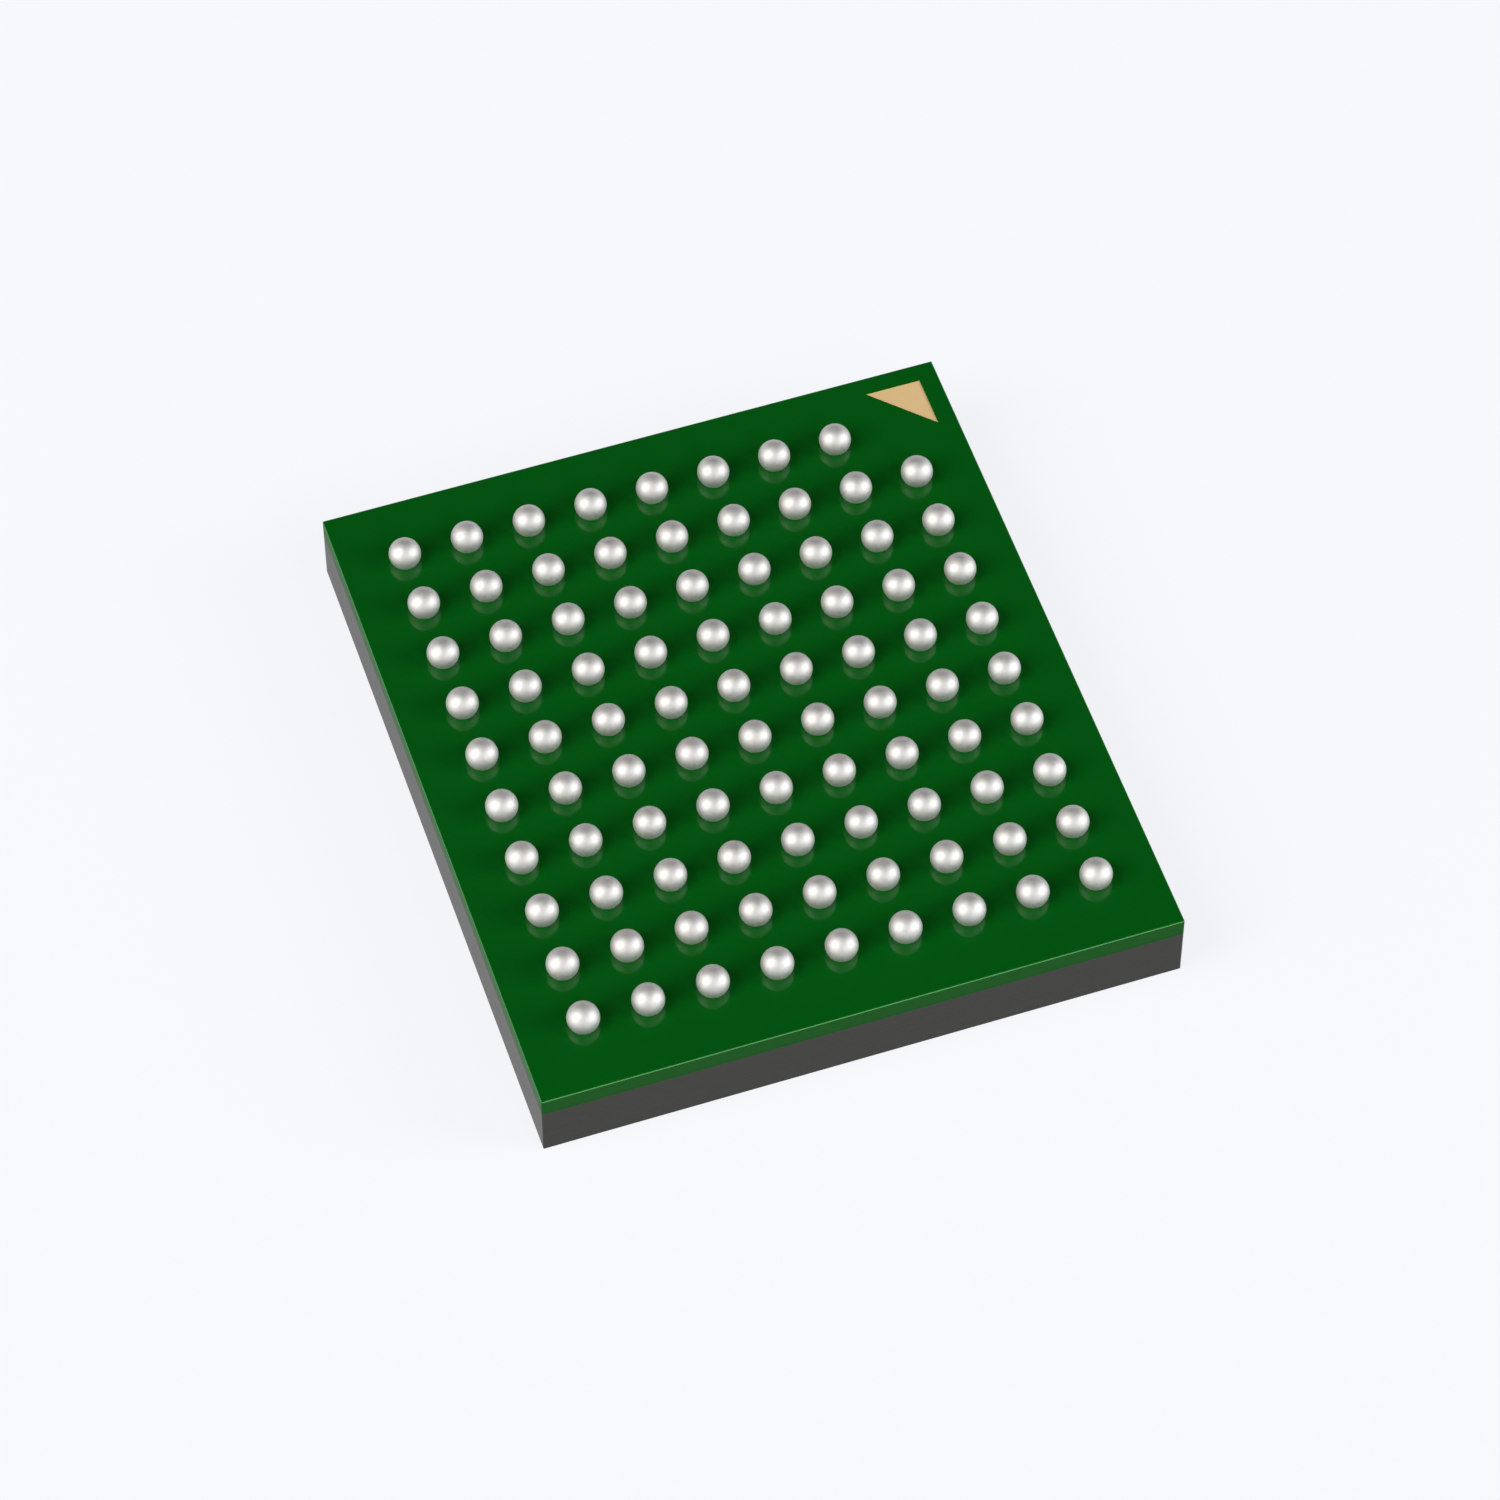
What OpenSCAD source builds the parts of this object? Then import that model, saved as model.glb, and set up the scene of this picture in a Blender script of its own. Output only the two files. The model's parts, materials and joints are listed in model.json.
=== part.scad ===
// Ball grid array package, lying on its moulded face with the solder balls up.
//
// The origin is the middle of the cap's flat face, and +Z points out of the ball side.
// Column 1 is at +X and row A at +Y, so seen from the ball side corner A1 is at +X, +Y:
// it has no ball, and carries the gold triangle.
// Every layer meets the next face to face, and what is embedded fills its pocket.

/* [Body] */
// Width of the body, across the ball columns
body_x = 8; // [7.6:0.1:12]
// Length of the body, across the ball rows
body_y = 9; // [8.4:0.1:13]
// Thickness of the moulded cap
mold_h = 0.76; // [0.6:0.01:1.4]
// Radius on every outer edge of the body
edge_r = 0.025; // [0.01:0.005:0.025]

/* [Substrate] */
// Thickness of the laminate core
core_t = 0.2; // [0.1:0.01:0.4]
// Thickness of the solder mask on each side of the core
mask_t = 0.03; // [0.03:0.005:0.05]
// Thickness of the copper under the mask
copper_t = 0.018; // [0.01:0.001:0.025]

/* [Solder balls] */
// Distance between neighbouring balls
pitch = 0.8; // [0.65:0.01:0.85]
// Diameter of a ball
ball_d = 0.4; // [0.38:0.01:0.5]
// Diameter of the mask opening that a ball is soldered into
opening_d = 0.32; // [0.28:0.01:0.36]
// Diameter of the copper pad under a ball
pad_d = 0.45; // [0.4:0.01:0.5]

/* [Corner marker] */
// Length of the marker's two square sides
marker_leg = 0.72; // [0.4:0.02:0.8]
// Distance from the marker to the edges of the body
marker_inset = 0.25; // [0.15:0.01:0.4]

/* [Die] */
// Width of the die
die_x = 3; // [2.4:0.1:3.6]
// Length of the die
die_y = 3.8; // [2.8:0.1:4.5]
// Thickness of the die
die_t = 0.22; // [0.1:0.01:0.3]
// Thickness of the adhesive under the die
attach_t = 0.03; // [0.02:0.005:0.05]
// How far the adhesive's squeezed-out fillet stands beyond the die
attach_margin = 0.04; // [0.02:0.01:0.08]

/* [Bond wires] */
// Diameter of a wire
wire_d = 0.02; // [0.015:0.001:0.022]
// Height of a wire's loop above the die
loop_h = 0.1; // [0.07:0.01:0.15]
// Diameter of the bump on the die and of the ball on the finger
bond_d = 0.055; // [0.045:0.005:0.07]
// Height of the bump and of the ball, in which the wire's ends are sunk
bond_h = 0.022; // [0.022:0.001:0.03]
// Distance from the bumps to the die's edge
bond_inset = 0.06; // [0.05:0.01:0.12]
// Distance from the end of a row of bumps to the die's corner
bond_corner = 0.15; // [0.12:0.01:0.3]

/* [Copper] */
// Length of a bond finger
finger_l = 0.18; // [0.14:0.01:0.2]
// Width of a bond finger
finger_w = 0.08; // [0.06:0.01:0.09]
// Least distance between the middles of neighbouring fingers in the end rows
finger_step = 0.16; // [0.14:0.005:0.165]
// Gap left at the corners of the ring of fingers by the two side rows
finger_corner = 0.5; // [0.4:0.05:0.8]
// Margin of the mask window around the fingers
window_margin = 0.05; // [0.03:0.01:0.07]
// Width of a trace on the die side
trace_w = 0.05; // [0.03:0.005:0.06]
// Width of the neck from a ball pad to its via
neck_w = 0.1; // [0.06:0.01:0.15]
// Diameter of the drilled via hole
via_d = 0.12; // [0.08:0.01:0.14]
// Thickness of the copper plated in the hole
plating_t = 0.02; // [0.01:0.005:0.025]
// Diameter of a via's land on either side
land_d = 0.2; // [0.18:0.01:0.22]
// Gap between a ball pad and its via's land
land_gap = 0.035; // [0.03:0.005:0.06]
// Least gap between the lands and pads of neighbouring nets
net_gap = 0.05; // [0.04:0.005:0.08]

/* [Hidden] */

$fn = 32;

// The ball matrix, which the routing of the copper is drawn for
columns = 9;
rows = 10;

// Heights of the layers, from the cap's flat face upwards
z_core = mold_h + mask_t;
z_core_top = z_core + core_t;
z_face = z_core_top + mask_t;
z_finger = z_core - copper_t;

// A ball is a sphere that meets the mask's face at the rim of its opening
ball_r = ball_d / 2;
opening_r = opening_d / 2;
z_ball = z_face + sqrt(ball_r * ball_r - opening_r * opening_r);

// How far a via lies from its ball: via_reach where it is square to its side, and
// via_diagonal along each axis where it is diagonal. It stands clear of its own pad, or
// closer in where a small pitch would otherwise bring it too near the next pad, or near
// another net's via between the same four balls.
clear_reach = pad_d / 2 + land_d / 2 + land_gap;
via_reach = min(clear_reach, pitch - pad_d / 2 - land_d / 2 - net_gap);
via_diagonal = min(clear_reach / sqrt(2), (pitch - land_d - net_gap) / 2);

// The ring of fingers, counted inwards as the rings of balls are, runs midway between
// the second and third of them, or further out where the die's adhesive would reach
// into the fingers' windows
finger_ring = 1.5;
window_reach = finger_l / 2 + window_margin;
finger_x = max(
    ((columns - 1) / 2 - finger_ring) * pitch,
    die_x / 2 + attach_margin + window_reach
);
finger_y = max(
    ((rows - 1) / 2 - finger_ring) * pitch,
    die_y / 2 + attach_margin + window_reach
);

// Sides of the package
NORTH = 0;
SOUTH = 1;
EAST = 2;
WEST = 3;

// For rings 0 to 4 of balls, counted inwards: which way the via lies from its ball.
// Outwards is 1. Along the side, 1 is away from the side's middle and -1 towards it,
// and a ball on the middle line itself has its own step.
via_outwards = [1, 1, -1, -1, -1];
via_along = [0, -1, -1, 1, 1];
via_along_middle = [0, 1, 0, -1, 1];

// Each net is [column, row] of its ball, and the A1 corner has none
nets = [
    for (j = [0 : rows - 1]) for (i = [0 : columns - 1])
        if (i + j > 0) [i, j]
];

// ---- Where things are ------------------------------------------------------------

function ball_at(net) = [
    ((columns - 1) / 2 - net[0]) * pitch,
    ((rows - 1) / 2 - net[1]) * pitch
];

function ring_of(net) =
    min(net[0], columns - 1 - net[0], net[1], rows - 1 - net[1]);

function side_of(net) =
    let (k = ring_of(net))
    net[1] == k ? NORTH
    : net[1] == rows - 1 - k ? SOUTH
    : net[0] == k ? EAST
    : WEST;

function is_lengthways(side) = side == NORTH || side == SOUTH;

// A point seen from one side, [along the side, outwards from the middle], and back
function to_side(side, p) =
    side == NORTH ? [p[0], p[1]]
    : side == SOUTH ? [p[0], -p[1]]
    : side == EAST ? [p[1], p[0]]
    : [p[1], -p[0]];

function from_side(side, q) =
    side == NORTH ? [q[0], q[1]]
    : side == SOUTH ? [q[0], -q[1]]
    : side == EAST ? [q[1], q[0]]
    : [-q[1], q[0]];

// The net's via, seen from its side
function via_on_side(net) =
    let (
        k = ring_of(net),
        b = to_side(side_of(net), ball_at(net)),
        along = b[0] == 0 ? via_along_middle[k] : sign(b[0]) * via_along[k],
        step = along == 0 ? via_reach : via_diagonal
    )
    [b[0] + along * step, b[1] + via_outwards[k] * step];

function via_at(net) = from_side(side_of(net), via_on_side(net));

// Fingers on a side stand in the order of their vias, inner nets after outer ones where
// two vias are level. The A1 corner is last in its row, and its place in the row of
// fingers stays empty.
level_step = 0.001;
function finger_order(net) = via_on_side(net)[0] + ring_of(net) * level_step;

function fingers_on(side) = len(nets_on(is_lengthways(side) ? SOUTH : EAST));

function nets_on(side) = [for (n = nets) if (side_of(n) == side) n];

function finger_rank(net) =
    len([
        for (n = nets_on(side_of(net)))
            if (finger_order(n) < finger_order(net)) 1
    ]);

function finger_pitch(side) =
    is_lengthways(side)
        ? max(2 * finger_x / (fingers_on(side) - 1), finger_step)
        : 2 * (finger_y - finger_corner) / (fingers_on(side) - 1);

function finger_out(side) = is_lengthways(side) ? finger_y : finger_x;

// Distance of a finger from the middle of its side
function finger_along(net) =
    let (side = side_of(net))
    (finger_rank(net) - (fingers_on(side) - 1) / 2) * finger_pitch(side);

function finger_at(net) =
    from_side(side_of(net), [finger_along(net), finger_out(side_of(net))]);

// Bumps stand along the die's edges, closer together than the fingers
function bond_at(net) =
    let (
        side = side_of(net),
        row_half = (is_lengthways(side) ? die_x : die_y) / 2 - bond_corner,
        fingers_half = (fingers_on(side) - 1) / 2 * finger_pitch(side),
        out = (is_lengthways(side) ? die_y : die_x) / 2 - bond_inset
    )
    from_side(side, [finger_along(net) * row_half / fingers_half, out]);

// A trace leaves its finger square, turns 45 degrees until it is level with its via,
// and runs straight on to it: traces in the same order never cross.
function trace_path(net) =
    let (
        side = side_of(net),
        via = via_on_side(net),
        u = finger_along(net),
        way = sign(via[1] - finger_out(side)),
        start = finger_out(side) + way * finger_l / 2,
        slant = min(abs(via[0] - u), abs(via[1] - start))
    )
    [for (q = [[u, finger_out(side)], [u, start], [via[0], start + way * slant], via])
        from_side(side, q)];

// ---- Outlines --------------------------------------------------------------------

function unit(v) = v / norm(v);
function left_of(v) = [-v[1], v[0]];

// Points closer together than this count as one
same = 0.002;

function without_repeats(path) =
    [for (i = [0 : len(path) - 1]) if (i == 0 || norm(path[i] - path[i - 1]) > same) path[i]];

// The mitred offset of a path's point i to its left, or to its right where w < 0
function mitre(path, i, w) =
    let (
        before = unit(path[max(i, 1)] - path[max(i, 1) - 1]),
        after = unit(path[min(i + 1, len(path) - 1)] - path[min(i, len(path) - 2)]),
        across = unit(left_of(before) + left_of(after))
    )
    path[i] + across * w / (across * left_of(before));

// A line of the given width along a path
module stroke(path, width) {
    p = without_repeats(path);
    last = len(p) - 1;
    polygon(concat(
        [for (i = [0 : last]) mitre(p, i, width / 2)],
        [for (i = [last : -1 : 0]) mitre(p, i, -width / 2)]
    ));
}

module rounded_rectangle(x, y, r) {
    square([x - 2 * r, y], center = true);
    square([x, y - 2 * r], center = true);
    for (sx = [-1, 1], sy = [-1, 1])
        translate([sx * (x / 2 - r), sy * (y / 2 - r)]) circle(r);
}

// Finger, trace and via land of one net, as the die side's copper has them
module die_side_outline(net) {
    side = side_of(net);
    translate(finger_at(net))
        square(is_lengthways(side) ? [finger_w, finger_l] : [finger_l, finger_w], center = true);
    stroke(trace_path(net), trace_w);
    translate(via_at(net)) circle(d = land_d);
}

// Ball pad, neck and via land of one net, as the ball side's copper has them
module ball_side_outline(net) {
    translate(ball_at(net)) circle(d = pad_d);
    stroke([ball_at(net), via_at(net)], neck_w);
    translate(via_at(net)) circle(d = land_d);
}

module marker_outline() {
    corner = [body_x / 2 - marker_inset, body_y / 2 - marker_inset];
    polygon([corner, corner - [marker_leg, 0], corner - [0, marker_leg]]);
}

// ---- Shared solids ---------------------------------------------------------------

// The finished body, with every outer edge rounded
module envelope() {
    intersection() {
        linear_extrude(z_face) rounded_rectangle(body_x, body_y, edge_r);
        translate([0, body_y / 2, z_face / 2]) rotate([90, 0, 0])
            linear_extrude(body_y) rounded_rectangle(body_x, z_face, edge_r);
        translate([-body_x / 2, 0, z_face / 2]) rotate([90, 0, 90])
            linear_extrude(body_x) rounded_rectangle(body_y, z_face, edge_r);
    }
}

// The slice of the body between two heights
module layer(z_low, z_high) {
    intersection() {
        envelope();
        translate([-body_x / 2, -body_y / 2, z_low]) cube([body_x, body_y, z_high - z_low]);
    }
}

// The mask's windows over the four rows of fingers, from z_low to z_high
module finger_windows(z_low, z_high) {
    for (side = [NORTH, SOUTH, EAST, WEST]) {
        row = (fingers_on(side) - 1) * finger_pitch(side);
        size = [row + finger_w + 2 * window_margin, 2 * window_reach];
        translate(concat(from_side(side, [0, finger_out(side)]), (z_low + z_high) / 2))
            cube(
                is_lengthways(side)
                    ? [size[0], size[1], z_high - z_low]
                    : [size[1], size[0], z_high - z_low],
                center = true
            );
    }
}

// One wire over a plan distance of span, with heights measured from the mask's face.
// It is bonded in reverse, as in thin packages: a ball on the finger, then an arc that
// clears the die's edge and comes down on a bump on the die. The arc's centre lies where
// a circle through both ends tops out at the loop's height.
module bond_wire(span) {
    bump = attach_t + die_t;
    finger = copper_t - mask_t;
    start_z = bump + wire_d / 2;
    fall = bump - finger;
    rise = bump + loop_h - start_z;
    ratio = fall / rise;
    centre_x = (sqrt(span ^ 2 + ratio * ((rise + fall) * fall + span ^ 2)) - span) / ratio;
    arc_r = (centre_x ^ 2 / rise + rise) / 2;
    centre_z = start_z + rise - arc_r;
    start_angle = 180 - atan2(start_z - centre_z, centre_x);
    end_angle = atan2(start_z - fall - centre_z, span - centre_x);

    translate([centre_x, 0, centre_z]) rotate([90, 0, 0]) rotate([0, 0, end_angle])
        rotate_extrude(angle = start_angle - end_angle)
            translate([arc_r, 0]) circle(d = wire_d);
    translate([0, 0, bump]) cylinder(d = bond_d, h = bond_h);
    translate([span, 0, finger]) cylinder(d = bond_d, h = bond_h);
}

module bond_wire_of(net) {
    from = bond_at(net);
    way = finger_at(net) - from;
    translate([from[0], from[1], mold_h])
        rotate([0, 0, atan2(way[1], way[0])]) rotate([180, 0, 0])
            bond_wire(norm(way));
}

// ---- Sub-parts -------------------------------------------------------------------

// Epoxy cap, moulded round the die, its wires and the fingers in their windows
module mold_cap() {
    color("#484846") difference() {
        union() {
            layer(0, mold_h);
            finger_windows(mold_h - mask_t, z_core);
        }
        for (net = nets)
            translate([0, 0, z_finger]) linear_extrude(copper_t) die_side_outline(net);
        bond_wires();
        die();
        die_attach();
    }
}

module bond_wires() {
    color("gold") for (net = nets) bond_wire_of(net);
}

module die() {
    color("#6b7078") translate([0, 0, mold_h - attach_t - die_t / 2])
        cube([die_x, die_y, die_t], center = true);
}

// Adhesive bed: as wide as its fillet stands where it meets the mask
module die_attach() {
    bed = [die_x + 2 * attach_margin, die_y + 2 * attach_margin, attach_t];
    color("#d8d2c0") translate([0, 0, mold_h - attach_t / 2]) cube(bed, center = true);
}

module die_side_mask() {
    color("#15551f") difference() {
        layer(mold_h, z_core);
        for (net = nets)
            translate([0, 0, z_finger]) linear_extrude(copper_t) die_side_outline(net);
        finger_windows(mold_h - mask_t, z_core);
    }
}

module die_side_copper() {
    color("#c98a52") translate([0, 0, z_finger]) for (net = nets)
        linear_extrude(copper_t) difference() {
            die_side_outline(net);
            translate(via_at(net)) circle(d = via_d - 2 * plating_t);
        }
}

module substrate_core() {
    color("#225725") difference() {
        layer(z_core, z_core_top);
        for (net = nets)
            translate(concat(via_at(net), z_core - mask_t))
                cylinder(d = via_d, h = core_t + 2 * mask_t);
    }
}

module via_barrels() {
    color("#c98a52") for (net = nets)
        translate(concat(via_at(net), z_core)) linear_extrude(core_t) difference() {
            circle(d = via_d);
            circle(d = via_d - 2 * plating_t);
        }
}

module via_plugs() {
    color("#1f4d26") for (net = nets)
        translate(concat(via_at(net), z_finger))
            cylinder(d = via_d - 2 * plating_t, h = core_t + 2 * copper_t);
}

module ball_side_copper() {
    color("#c98a52") translate([0, 0, z_core_top]) for (net = nets)
        linear_extrude(copper_t) difference() {
            ball_side_outline(net);
            translate(via_at(net)) circle(d = via_d - 2 * plating_t);
        }
}

module pin1_marker() {
    color("#d2b982") translate([0, 0, z_core_top]) linear_extrude(copper_t) marker_outline();
}

module ball_side_mask() {
    color("#015210") difference() {
        layer(z_core_top, z_face);
        for (net = nets) {
            translate([0, 0, z_core_top]) linear_extrude(copper_t) ball_side_outline(net);
            translate(concat(ball_at(net), z_core_top)) cylinder(r = opening_r, h = 2 * mask_t);
        }
        translate([0, 0, z_core_top]) linear_extrude(2 * mask_t) marker_outline();
    }
}

// A reflowed ball: a sphere cut level with the mask, over the solder in its opening
module solder_ball() {
    z_pad = z_core_top + copper_t;
    translate([0, 0, z_pad]) cylinder(r = opening_r, h = z_face - z_pad);
    intersection() {
        translate([0, 0, z_ball]) sphere(ball_r, $fn = 64);
        translate([0, 0, z_face]) cylinder(r = ball_d, h = ball_d + ball_r);
    }
}

module balls_row(j) {
    color("#c9ccce") for (net = nets) if (net[1] == j)
        translate(ball_at(net)) solder_ball();
}

mold_cap();
bond_wires();
die();
die_attach();
die_side_mask();
die_side_copper();
substrate_core();
via_barrels();
via_plugs();
ball_side_copper();
pin1_marker();
ball_side_mask();
balls_row(0);  // balls_row_a
balls_row(1);  // balls_row_b
balls_row(2);  // balls_row_c
balls_row(3);  // balls_row_d
balls_row(4);  // balls_row_e
balls_row(5);  // balls_row_f
balls_row(6);  // balls_row_g
balls_row(7);  // balls_row_h
balls_row(8);  // balls_row_j
balls_row(9);  // balls_row_k
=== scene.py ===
import json
import math

import bmesh
import bpy
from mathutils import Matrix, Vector


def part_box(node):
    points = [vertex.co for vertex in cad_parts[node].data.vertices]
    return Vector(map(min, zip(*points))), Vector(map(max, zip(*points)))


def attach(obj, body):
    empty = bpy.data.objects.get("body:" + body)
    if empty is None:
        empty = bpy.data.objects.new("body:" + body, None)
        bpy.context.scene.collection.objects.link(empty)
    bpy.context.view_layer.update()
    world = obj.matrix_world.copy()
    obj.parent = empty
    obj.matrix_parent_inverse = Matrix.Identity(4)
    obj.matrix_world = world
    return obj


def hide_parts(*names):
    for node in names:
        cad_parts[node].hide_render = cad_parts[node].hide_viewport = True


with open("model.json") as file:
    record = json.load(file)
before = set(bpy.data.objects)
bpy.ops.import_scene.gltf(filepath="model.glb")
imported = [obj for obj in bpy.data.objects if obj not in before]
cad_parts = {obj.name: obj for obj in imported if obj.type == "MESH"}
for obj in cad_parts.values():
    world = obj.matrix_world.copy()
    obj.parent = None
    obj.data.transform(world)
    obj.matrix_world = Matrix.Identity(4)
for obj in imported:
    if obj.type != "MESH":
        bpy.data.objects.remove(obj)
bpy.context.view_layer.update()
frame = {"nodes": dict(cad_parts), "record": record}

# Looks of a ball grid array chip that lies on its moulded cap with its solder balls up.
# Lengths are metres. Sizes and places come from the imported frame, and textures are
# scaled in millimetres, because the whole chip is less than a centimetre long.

MM = 0.001

# ---- The chip, measured from its frame ---------------------------------------------

BALL_ROWS = sorted(n for n in frame["nodes"] if n.startswith("balls_row_"))

body_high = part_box("mold_cap")[1]
z_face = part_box("ball_side_mask")[1].z
z_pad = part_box("pin1_marker")[1].z


def row_middle(node):
    low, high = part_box(node)
    return (low.y + high.y) / 2


row_low, row_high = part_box(BALL_ROWS[-1])
ball_r = (row_high.y - row_low.y) / 2
ball_z = row_high.z - ball_r
ball_pitch = abs(row_middle(BALL_ROWS[-1]) - row_middle(BALL_ROWS[-2]))
opening_r = math.sqrt(ball_r ** 2 - (ball_z - z_face) ** 2)

# ---- Mesh helpers ------------------------------------------------------------------

# A profile's point nearer to the axis than this becomes one vertex instead of a ring
ON_AXIS = 1e-9


def lathe(mesh, profile, centre, segments):
    """Turns a profile of (radius, height) points round the upright axis through centre."""
    rings = []
    for radius, height in profile:
        if radius < ON_AXIS:
            rings.append([mesh.verts.new((centre[0], centre[1], height))])
            continue
        ring = []
        for k in range(segments):
            angle = 2 * math.pi * k / segments
            ring.append(mesh.verts.new((
                centre[0] + radius * math.cos(angle),
                centre[1] + radius * math.sin(angle),
                height,
            )))
        rings.append(ring)
    for low, high in zip(rings, rings[1:]):
        for k in range(segments):
            corners = [low[k % len(low)], low[(k + 1) % len(low)],
                       high[(k + 1) % len(high)], high[k % len(high)]]
            mesh.faces.new(list(dict.fromkeys(corners)))


def piece_from(mesh, name, sharp_angle=None):
    """Makes a smooth object of a finished bmesh, with edges sharp above an angle."""
    data = bpy.data.meshes.new(name)
    mesh.normal_update()
    mesh.to_mesh(data)
    mesh.free()
    data.polygons.foreach_set("use_smooth", [True] * len(data.polygons))
    if sharp_angle is not None:
        data.set_sharp_from_angle(angle=sharp_angle)
    made = bpy.data.objects.new(name, data)
    bpy.context.scene.collection.objects.link(made)
    return made


# ---- Material helpers --------------------------------------------------------------


class Nodes:
    """A material's node tree, with short calls for the nodes used here."""

    def __init__(self, name):
        self.material = bpy.data.materials.new(name)
        self.material.use_nodes = True
        self.tree = self.material.node_tree
        self.tree.nodes.clear()
        self.shader = self.add("ShaderNodeBsdfPrincipled")
        self.output = self.add("ShaderNodeOutputMaterial")
        self.join(self.shader.outputs["BSDF"], self.output.inputs["Surface"])
        place = self.add("ShaderNodeTexCoord").outputs["Object"]
        self.mm = self.stretched(place, (1 / MM, 1 / MM, 1 / MM))

    def add(self, kind, **settings):
        node = self.tree.nodes.new(kind)
        for key, value in settings.items():
            setattr(node, key, value)
        return node

    def join(self, output, socket):
        self.tree.links.new(output, socket)

    def feed(self, socket, value):
        """Sets a socket to a number or colour, or links it to another node's output."""
        if isinstance(value, bpy.types.NodeSocket):
            self.join(value, socket)
        else:
            socket.default_value = value

    def stretched(self, vector, scale):
        node = self.add("ShaderNodeMapping")
        self.join(vector, node.inputs["Vector"])
        node.inputs["Scale"].default_value = scale
        return node.outputs["Vector"]

    def noise(self, per_mm, detail, vector=None):
        """Noise from 0 to 1, with so many features to the millimetre."""
        node = self.add("ShaderNodeTexNoise")
        self.join(self.mm if vector is None else vector, node.inputs["Vector"])
        node.inputs["Scale"].default_value = per_mm
        node.inputs["Detail"].default_value = detail
        return node.outputs["Fac"]

    def cells(self, per_mm):
        """Distance to the nearest of scattered points, so many to the millimetre."""
        node = self.add("ShaderNodeTexVoronoi")
        self.join(self.mm, node.inputs["Vector"])
        node.inputs["Scale"].default_value = per_mm
        return node.outputs["Distance"]

    def distance_to(self, point_mm):
        node = self.add("ShaderNodeVectorMath", operation="DISTANCE")
        self.join(self.mm, node.inputs[0])
        node.inputs[1].default_value = point_mm
        return node.outputs["Value"]

    def ranged(self, value, low, high, from_low=0.0, from_high=1.0, smooth=False):
        """Carries a value from one range to another, and holds it within that."""
        node = self.add("ShaderNodeMapRange")
        if smooth:
            node.interpolation_type = "SMOOTHSTEP"
        self.feed(node.inputs["Value"], value)
        self.feed(node.inputs["From Min"], from_low)
        self.feed(node.inputs["From Max"], from_high)
        self.feed(node.inputs["To Min"], low)
        self.feed(node.inputs["To Max"], high)
        return node.outputs["Result"]

    def math(self, operation, a, b=0.0):
        node = self.add("ShaderNodeMath", operation=operation)
        self.feed(node.inputs[0], a)
        self.feed(node.inputs[1], b)
        return node.outputs["Value"]

    def blend(self, factor, a, b):
        """Colour a where the factor is 0 and b where it is 1."""
        node = self.add("ShaderNodeMixRGB")
        self.feed(node.inputs["Fac"], factor)
        self.feed(node.inputs["Color1"], a)
        self.feed(node.inputs["Color2"], b)
        return node.outputs["Color"]

    def bump(self, height, depth_mm):
        node = self.add("ShaderNodeBump")
        self.join(height, node.inputs["Height"])
        node.inputs["Distance"].default_value = depth_mm * MM
        return node.outputs["Normal"]

    def sideways(self):
        """1 on upright faces and 0 on level ones."""
        facing = self.add("ShaderNodeNewGeometry").outputs["Normal"]
        parts = self.add("ShaderNodeSeparateXYZ")
        self.join(facing, parts.inputs["Vector"])
        level = self.math("ABSOLUTE", parts.outputs["Z"])
        return self.ranged(level, 1.0, 0.0, 0.3, 0.8, smooth=True)

    def finish(self, colour, roughness, normal=None, metallic=0.0, specular=0.5):
        socket = self.shader.inputs
        self.feed(socket["Base Color"], colour)
        self.feed(socket["Roughness"], roughness)
        socket["Metallic"].default_value = metallic
        socket["Specular IOR Level"].default_value = specular
        if normal is not None:
            self.join(normal, socket["Normal"])
        return self.material


def linear(red, green, blue):
    """A colour written as on a screen, from 0 to 255, as the light that it stands for."""
    def light(value):
        share = value / 255
        return share / 12.92 if share <= 0.04045 else ((share + 0.055) / 1.055) ** 2.4
    return (light(red), light(green), light(blue), 1.0)


# ---- Materials ---------------------------------------------------------------------

# The two greens of the sawn sides, the same on the masks and on the laminate between them
SAWN_DARK = linear(1, 75, 9)
SAWN_LIGHT = linear(5, 85, 15)

# The range of roughness that masks and laminate share, under the masks' glossy coat
BOARD_ROUGHNESS = (0.36, 0.48)
COAT_ROUGHNESS = 0.07
COAT_IOR = 1.33

# The laser-marked dot on the cap's face, in millimetres, at the corner of ball A1
DOT_R = 0.25
DOT_INSET = 0.8
DOT_BLUR = 0.01


def solder_mask_material():
    """Satin green with a gloss on its faces, plain sawn sides, and a painted highlight of
    lighter green on the rounded edges.
    """
    n = Nodes("solder_mask")
    face = n.blend(n.noise(0.7, 3.0), linear(0, 81, 14), linear(0, 85, 16))
    sawn = n.blend(n.noise(12, 4.0), SAWN_DARK, SAWN_LIGHT)
    side = n.sideways()
    # 4 s (1 - s): 1 on the rounded edges, and 0 on level and on upright faces
    bend = n.math("MULTIPLY", n.math("MULTIPLY", side, n.ranged(side, 1.0, 0.0)), 4.0)
    # Painted highlight: a light green laid on the rounded edges, in place of the gleam the
    # lamps give there
    painted_edge_highlight = n.blend(bend, n.blend(side, face, sawn), linear(84, 162, 90))
    levelling = n.bump(n.noise(2.5, 2.0), 0.0004)
    roughness = n.ranged(n.noise(4, 2.0), *BOARD_ROUGHNESS)
    coat = n.shader.inputs
    n.join(n.ranged(side, 1.0, 0.0), coat["Coat Weight"])
    coat["Coat Roughness"].default_value = COAT_ROUGHNESS
    coat["Coat IOR"].default_value = COAT_IOR
    n.join(levelling, coat["Coat Normal"])
    return n.finish(painted_edge_highlight, roughness, levelling, specular=0.04)


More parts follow.
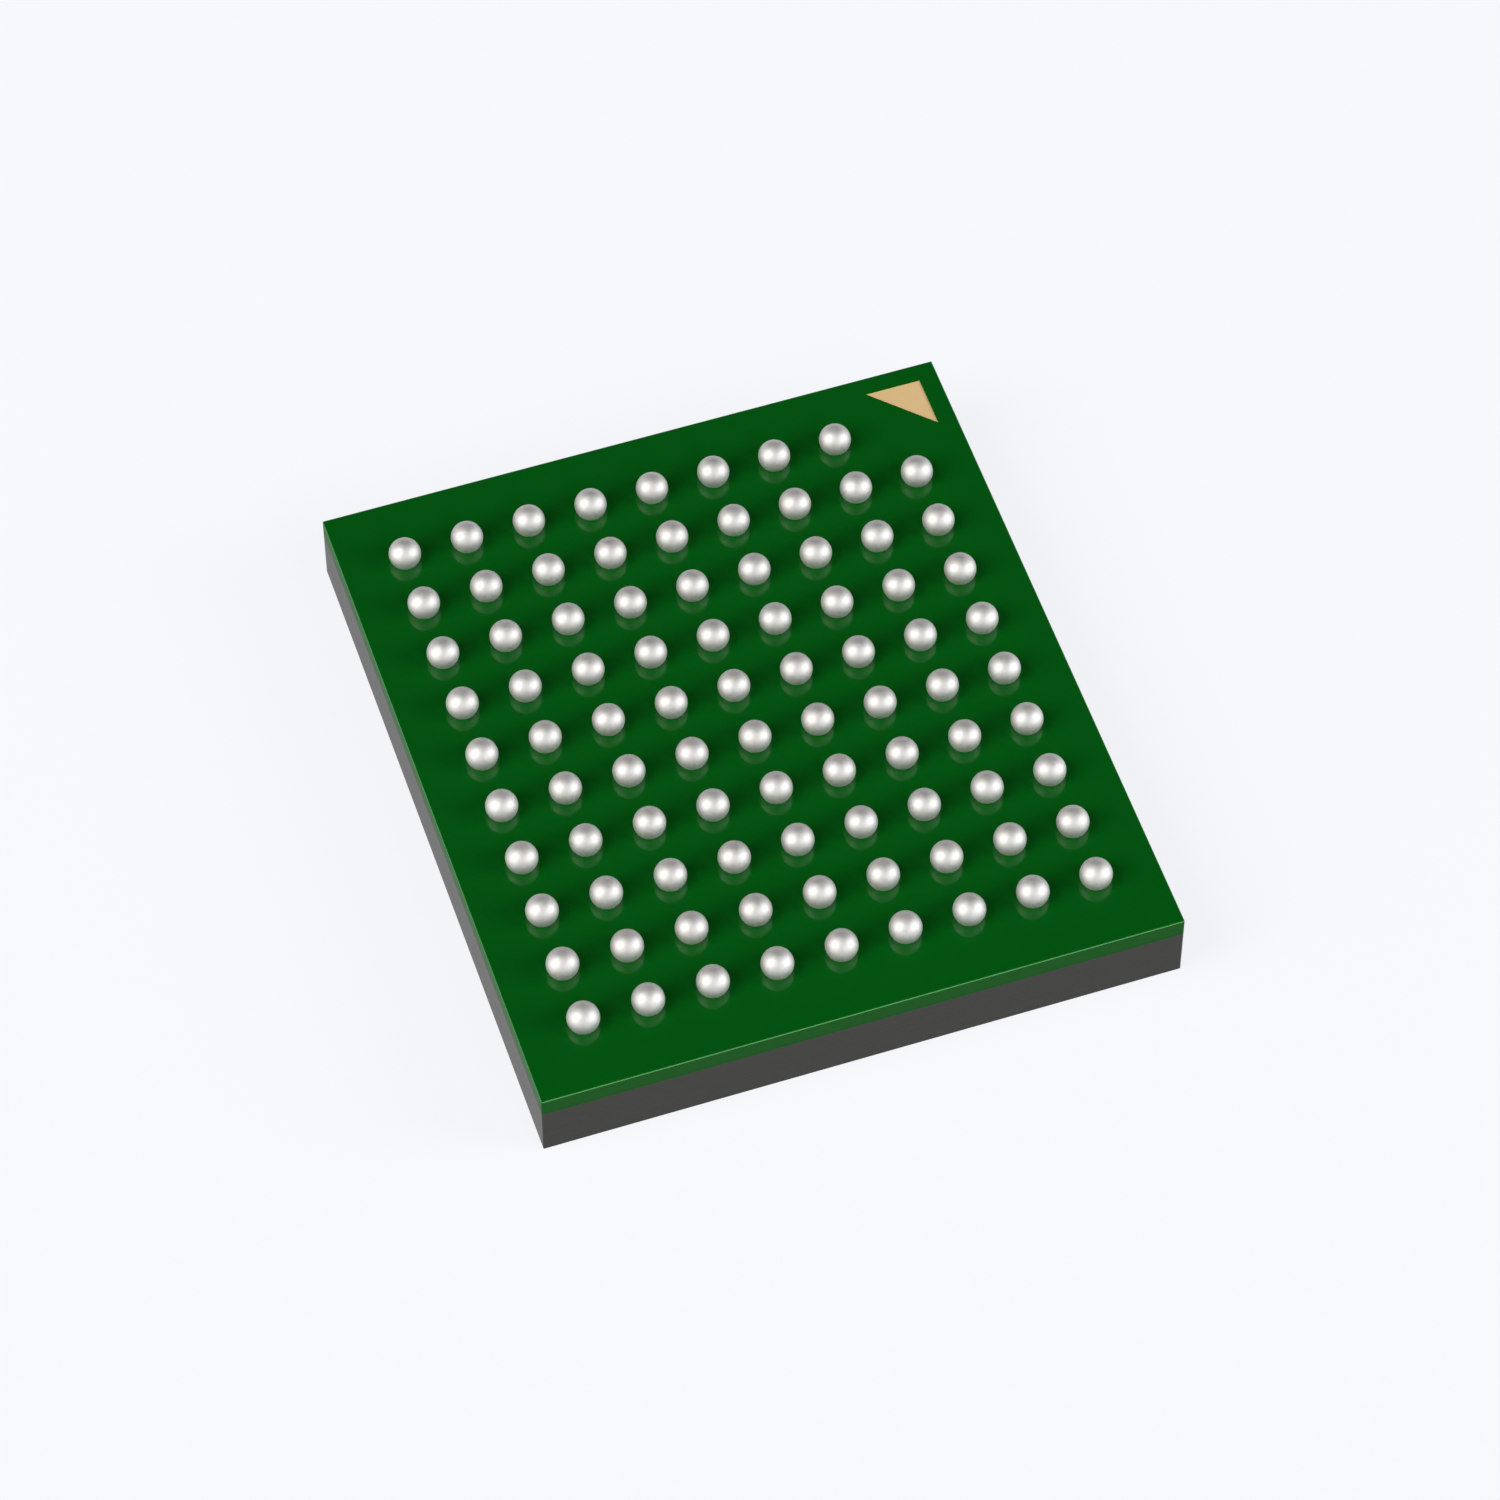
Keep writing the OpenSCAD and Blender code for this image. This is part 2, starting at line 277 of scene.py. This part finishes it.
def laminate_material():
    n = Nodes("laminate")
    saw_lines = n.noise(1, 4.0, n.stretched(n.mm, (3, 3, 70)))
    fibre_ends = n.cells(55)
    colour = n.blend(saw_lines, SAWN_DARK, SAWN_LIGHT)
    height = n.math("ADD", saw_lines, n.math("MULTIPLY", fibre_ends, 0.4))
    roughness = n.ranged(saw_lines, *BOARD_ROUGHNESS)
    return n.finish(colour, roughness, n.bump(height, 0.001), specular=0.055)


def mold_material():
    n = Nodes("mold_compound")
    grain = n.noise(26, 4.0)
    filler = n.ranged(n.cells(30), 1.0, 0.0, 0.08, 0.22, smooth=True)
    plain = n.blend(grain, linear(49, 49, 45), linear(55, 55, 51))
    resin = n.blend(n.math("MULTIPLY", filler, 0.25), plain, linear(74, 74, 71))
    dot_place = (body_high.x / MM - DOT_INSET, body_high.y / MM - DOT_INSET, 0.0)
    dot = n.ranged(n.distance_to(dot_place), 1.0, 0.0, DOT_R - DOT_BLUR, DOT_R + DOT_BLUR)
    colour = n.blend(dot, resin, linear(128, 128, 124))
    saw_lines = n.noise(1, 3.0, n.stretched(n.mm, (1.5, 1.5, 45)))
    sawn = n.math("MULTIPLY", saw_lines, n.sideways())
    height = n.math("ADD", grain, n.math("MULTIPLY", sawn, 1.2))
    roughness = n.ranged(dot, n.ranged(grain, 0.3, 0.42), 0.8)
    return n.finish(colour, roughness, n.bump(height, 0.0012), specular=0.115)


def solder_material():
    n = Nodes("solder")
    grain = n.noise(28, 5.0)
    patches = n.noise(9, 3.0)
    colour = n.blend(patches, linear(221, 219, 217), linear(229, 228, 226))
    roughness = n.ranged(grain, 0.59, 0.68, 0.3, 0.7)
    return n.finish(colour, roughness, n.bump(grain, 0.0008), metallic=1.0)


def gold_plate_material():
    n = Nodes("gold_plate")
    grain = n.noise(30, 4.0)
    colour = n.blend(n.noise(3.5, 3.0), linear(243, 207, 148), linear(247, 213, 154))
    return n.finish(colour, n.ranged(grain, 0.5, 0.62), n.bump(grain, 0.0006), metallic=0.3)


def gold_wire_material():
    n = Nodes("gold_wire")
    draw_lines = n.noise(60, 2.0)
    colour = n.blend(n.noise(5, 2.0), linear(240, 190, 90), linear(246, 204, 110))
    roughness = n.ranged(draw_lines, 0.18, 0.3)
    return n.finish(colour, roughness, n.bump(draw_lines, 0.0003), metallic=1.0)


def copper_material():
    n = Nodes("copper")
    etch = n.noise(45, 4.0)
    colour = n.blend(n.noise(4, 3.0), linear(196, 130, 92), linear(212, 148, 106))
    return n.finish(colour, n.ranged(etch, 0.35, 0.55), n.bump(etch, 0.001), metallic=1.0)


def silicon_material():
    n = Nodes("silicon")
    grinding = n.noise(1, 3.0, n.stretched(n.mm, (4, 90, 4)))
    colour = n.blend(grinding, linear(100, 105, 113), linear(112, 117, 125))
    roughness = n.ranged(grinding, 0.22, 0.34)
    return n.finish(colour, roughness, n.bump(grinding, 0.0003), metallic=0.6)


def die_adhesive_material():
    n = Nodes("die_adhesive")
    flakes = n.cells(35)
    colour = n.blend(flakes, linear(222, 216, 200), linear(204, 197, 178))
    return n.finish(colour, n.ranged(flakes, 0.4, 0.6), n.bump(flakes, 0.001))


def plug_resin_material():
    n = Nodes("plug_resin")
    grain = n.noise(30, 3.0)
    colour = n.blend(grain, linear(26, 70, 34), linear(34, 84, 42))
    return n.finish(colour, n.ranged(grain, 0.4, 0.55), n.bump(grain, 0.0008))


MATERIALS = {
    "mold_compound": mold_material(),
    "gold_wire": gold_wire_material(),
    "silicon": silicon_material(),
    "die_adhesive": die_adhesive_material(),
    "solder_mask": solder_mask_material(),
    "copper": copper_material(),
    "laminate": laminate_material(),
    "plug_resin": plug_resin_material(),
    "gold_plate": gold_plate_material(),
    "solder": solder_material(),
}

SLOT_OF = {part["node"]: part["material_slot"] for part in frame["record"]["subparts"]}


def dress(thing, slot):
    thing.data.materials.clear()
    thing.data.materials.append(MATERIALS[slot])


for node, thing in frame["nodes"].items():
    dress(thing, SLOT_OF[node])

# ---- Solder balls ------------------------------------------------------------------

BALL_SEGMENTS = 48
BALL_RINGS = 24
SHARP_ABOVE = math.radians(40)


def ball_profile():
    """The solder in the mask's opening, then the ball from the opening's rim to its top."""
    start = math.asin((z_face - ball_z) / ball_r)
    profile = [(0.0, z_pad), (opening_r, z_pad)]
    for k in range(BALL_RINGS + 1):
        angle = start + (math.pi / 2 - start) * k / BALL_RINGS
        radius = ball_r * math.cos(angle) if k < BALL_RINGS else 0.0
        profile.append((radius, ball_z + ball_r * math.sin(angle)))
    return profile


def ball_row(node):
    low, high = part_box(node)
    count = round((high.x - low.x - 2 * ball_r) / ball_pitch) + 1
    mesh = bmesh.new()
    for k in range(count):
        centre = (low.x + ball_r + k * ball_pitch, row_middle(node))
        lathe(mesh, ball_profile(), centre, BALL_SEGMENTS)
    row = piece_from(mesh, "solder_" + node, sharp_angle=SHARP_ABOVE)
    dress(row, "solder")
    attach(row, "root")
    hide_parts(node)


for node in BALL_ROWS:
    ball_row(node)

# ---- Stage -------------------------------------------------------------------------

FLOOR_R = 0.35
WALL_R = 0.12
FLOOR_GAP = 2e-6  # below the cap, so that the two faces don't coincide
FLOOR_SEGMENTS = 96
PALE = linear(247, 248, 252)
GLOW = linear(248, 249, 253)
GLOW_SHARE = 0.88


def stage():
    """A pale floor that turns up into a low wall all round.

    To the camera, and in reflections, most of its light is its own, so that it stays pale
    and keeps a faint shadow. It lights the chip only as a plain pale floor does.
    """
    turn = [
        (FLOOR_R + WALL_R * math.sin(a), WALL_R * (1 - math.cos(a)))
        for a in (math.radians(d) for d in range(0, 91, 10))
    ]
    mesh = bmesh.new()
    level = [(0.0, -FLOOR_GAP), (FLOOR_R, -FLOOR_GAP)]
    lathe(mesh, level + turn[1:], (0, 0), FLOOR_SEGMENTS)
    floor = piece_from(mesh, "floor")
    n = Nodes("floor")
    rays = n.add("ShaderNodeLightPath").outputs
    seen = n.math("MAXIMUM", rays["Is Camera Ray"], rays["Is Glossy Ray"])
    seen = n.math("MAXIMUM", seen, rays["Is Transmission Ray"])
    glow = n.add("ShaderNodeEmission")
    glow.inputs["Color"].default_value = GLOW
    glow.inputs["Strength"].default_value = 1.0
    mix = n.add("ShaderNodeMixShader")
    n.join(n.math("MULTIPLY", seen, GLOW_SHARE), mix.inputs["Fac"])
    n.join(n.shader.outputs["BSDF"], mix.inputs[1])
    n.join(glow.outputs["Emission"], mix.inputs[2])
    n.join(mix.outputs["Shader"], n.output.inputs["Surface"])
    floor.data.materials.append(n.finish(PALE, 1.0, specular=0.0))


stage()

# ---- Lights ------------------------------------------------------------------------


def direction(azimuth, elevation):
    """Points from the chip: azimuth 0 is the side at -Y, and 90 is the side at +X."""
    a, e = math.radians(azimuth), math.radians(elevation)
    return Vector((math.sin(a) * math.cos(e), -math.cos(a) * math.cos(e), math.sin(e)))


LAMP_DISTANCE = 0.25
WORLD_STRENGTH = 0.04


def softbox(name, azimuth, elevation, width, height, radiance, colour=(1, 1, 1)):
    """A panel of light that faces the chip. Its radiance is what a mirror there shows."""
    data = bpy.data.lights.new(name, "AREA")
    data.shape = "RECTANGLE"
    data.size, data.size_y = width, height
    data.energy = radiance * math.pi * width * height
    data.color = colour
    lamp = bpy.data.objects.new(name, data)
    bpy.context.scene.collection.objects.link(lamp)
    way = direction(azimuth, elevation)
    lamp.location = way * LAMP_DISTANCE
    lamp.rotation_euler = way.to_track_quat("Z", "Y").to_euler()


softbox("softbox_left", -81, 43, 0.15, 0.18, 6.4, (1.0, 0.975, 0.945))
softbox("softbox_low", -82, 10, 0.2, 0.075, 1.9, (1.0, 0.95, 0.9))
softbox("softbox_right", 64.5, 26, 0.12, 0.12, 8.7, (0.97, 0.985, 1.0))
softbox("softbox_front", 15, 34, 0.09, 0.09, 5.0)

world = bpy.data.worlds.new("studio")
bpy.context.scene.world = world
world.use_nodes = True
background = world.node_tree.nodes["Background"].inputs
background["Color"].default_value = (1.0, 1.0, 1.0, 1.0)
background["Strength"].default_value = WORLD_STRENGTH

# ---- Camera ------------------------------------------------------------------------

VIEW_AZIMUTH = -18.6
VIEW_ELEVATION = 54.42
VIEW_DISTANCE = 0.07914
AIM = Vector((-0.101 * MM, -0.515 * MM, z_face + 0.033 * MM))
LENS = 157.48
SENSOR_WIDTH = 36
CLIP = (0.001, 10)

camera_data = bpy.data.cameras.new("camera")
camera_data.lens = LENS
camera_data.sensor_width = SENSOR_WIDTH
camera_data.clip_start, camera_data.clip_end = CLIP
camera = bpy.data.objects.new("camera", camera_data)
bpy.context.scene.collection.objects.link(camera)
back = direction(VIEW_AZIMUTH, VIEW_ELEVATION)
camera.location = AIM + back * VIEW_DISTANCE
camera.rotation_euler = back.to_track_quat("Z", "Y").to_euler()
bpy.context.scene.camera = camera
bpy.context.scene.view_settings.view_transform = "Standard"
